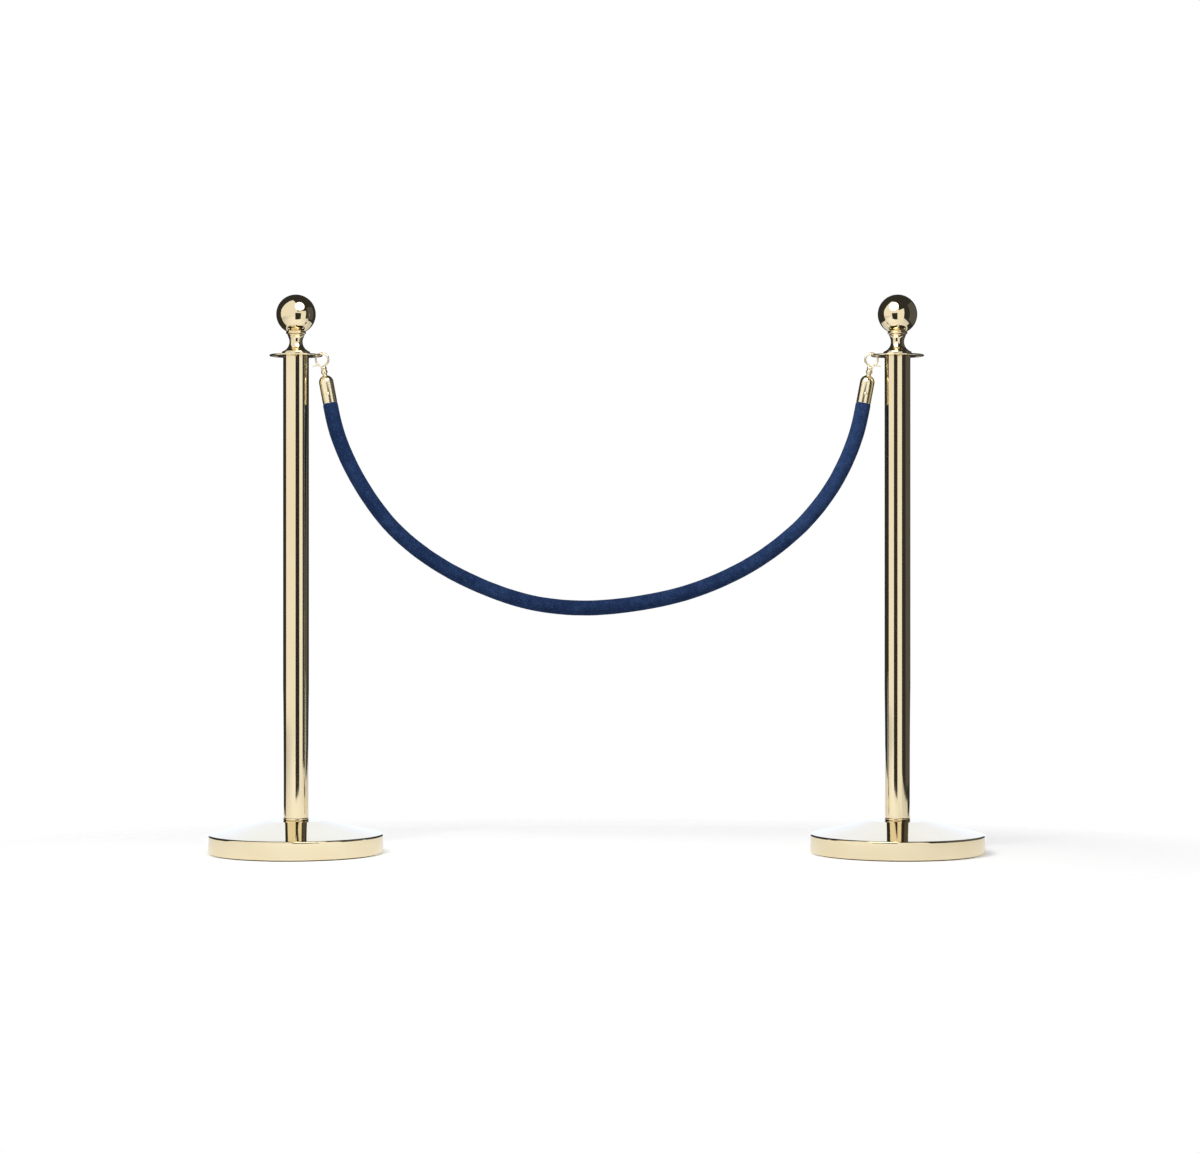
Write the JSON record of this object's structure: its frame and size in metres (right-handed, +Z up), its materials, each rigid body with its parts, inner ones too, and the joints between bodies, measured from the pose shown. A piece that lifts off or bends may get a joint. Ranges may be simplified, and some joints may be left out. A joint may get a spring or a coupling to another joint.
{
  "type": "velvet rope barrier",
  "caption": "Velvet rope with snap-hook ends hung between two ball-topped polished gold posts on weighted round bases.",
  "frame": {"origin": "on the floor, midway between the two posts", "axes": "+X from the left post to the right one, as seen in the picture; +Y to the back; +Z up"},
  "size_m": [1.388, 0.312, 0.9999],
  "materials": {
    "polished_gold": "mirror-polished pale gold plating",
    "velvet": "short-pile navy blue velvet",
    "cotton_core": "undyed cotton filler",
    "cast_weight": "as cast, painted black",
    "floor_rubber": "matt black rubber",
    "plated_steel": "zinc-plated steel"
  },
  "bodies": {
    "posts": {"left_floor_ring": "floor_rubber", "left_base_weight": "cast_weight", "left_base_cover": "polished_gold", "left_tie_rod": "plated_steel", "left_base_washer": "plated_steel", "left_base_nut": "plated_steel", "left_base_collar": "polished_gold", "left_lower_plug": "plated_steel", "left_post_tube": "polished_gold", "left_upper_plug": "plated_steel", "left_rope_plate": "polished_gold", "left_finial_stud": "plated_steel", "left_finial_neck": "polished_gold", "left_finial_ball": "polished_gold", "right_floor_ring": "floor_rubber", "right_base_weight": "cast_weight", "right_base_cover": "polished_gold", "right_tie_rod": "plated_steel", "right_base_washer": "plated_steel", "right_base_nut": "plated_steel", "right_base_collar": "polished_gold", "right_lower_plug": "plated_steel", "right_post_tube": "polished_gold", "right_upper_plug": "plated_steel", "right_rope_plate": "polished_gold", "right_finial_stud": "plated_steel", "right_finial_neck": "polished_gold", "right_finial_ball": "polished_gold"},
    "rope": {"left_ferrule": "polished_gold", "left_ferrule_screw": "polished_gold", "left_swivel_pin": "polished_gold", "left_swivel_washer": "polished_gold", "left_nut_washer": "plated_steel", "left_swivel_nut": "plated_steel", "right_ferrule": "polished_gold", "right_ferrule_screw": "polished_gold", "right_swivel_pin": "polished_gold", "right_swivel_washer": "polished_gold", "right_nut_washer": "plated_steel", "right_swivel_nut": "plated_steel", "rope_core": "cotton_core", "rope_sheath": "velvet"},
    "left_hook": {"left_hook": "polished_gold", "left_trigger_pin": "plated_steel", "left_trigger_spring": "plated_steel"},
    "left_trigger": {"left_trigger": "polished_gold"},
    "right_hook": {"right_hook": "polished_gold", "right_trigger_pin": "plated_steel", "right_trigger_spring": "plated_steel"},
    "right_trigger": {"right_trigger": "polished_gold"}
  },
  "joints": [
    {"name": "rope_swing", "type": "hinge", "parent": "posts", "child": "rope", "pos_m": [0, 0, 0.89258], "axis": [1, 0, 0], "range_deg": [-20, 20]},
    {"name": "left_swivel", "type": "hinge", "parent": "rope", "child": "left_hook", "pos_m": [-0.4915, 0, 0.88343], "axis": [-0.184, 0, 0.9829], "range_deg": [-15, 15]},
    {"name": "left_trigger_open", "type": "hinge", "parent": "left_hook", "child": "left_trigger", "pos_m": [-0.49111, 0, 0.86773], "axis": [0, 1, 0], "range_deg": [0, 28], "deforming": ["left_trigger_spring"]},
    {"name": "right_swivel", "type": "hinge", "parent": "rope", "child": "right_hook", "pos_m": [0.4915, 0, 0.88343], "axis": [0.184, 0, 0.9829], "range_deg": [-15, 15]},
    {"name": "right_trigger_open", "type": "hinge", "parent": "right_hook", "child": "right_trigger", "pos_m": [0.49111, 0, 0.86773], "axis": [0, -1, 0], "range_deg": [0, 28], "deforming": ["right_trigger_spring"]}
  ]
}
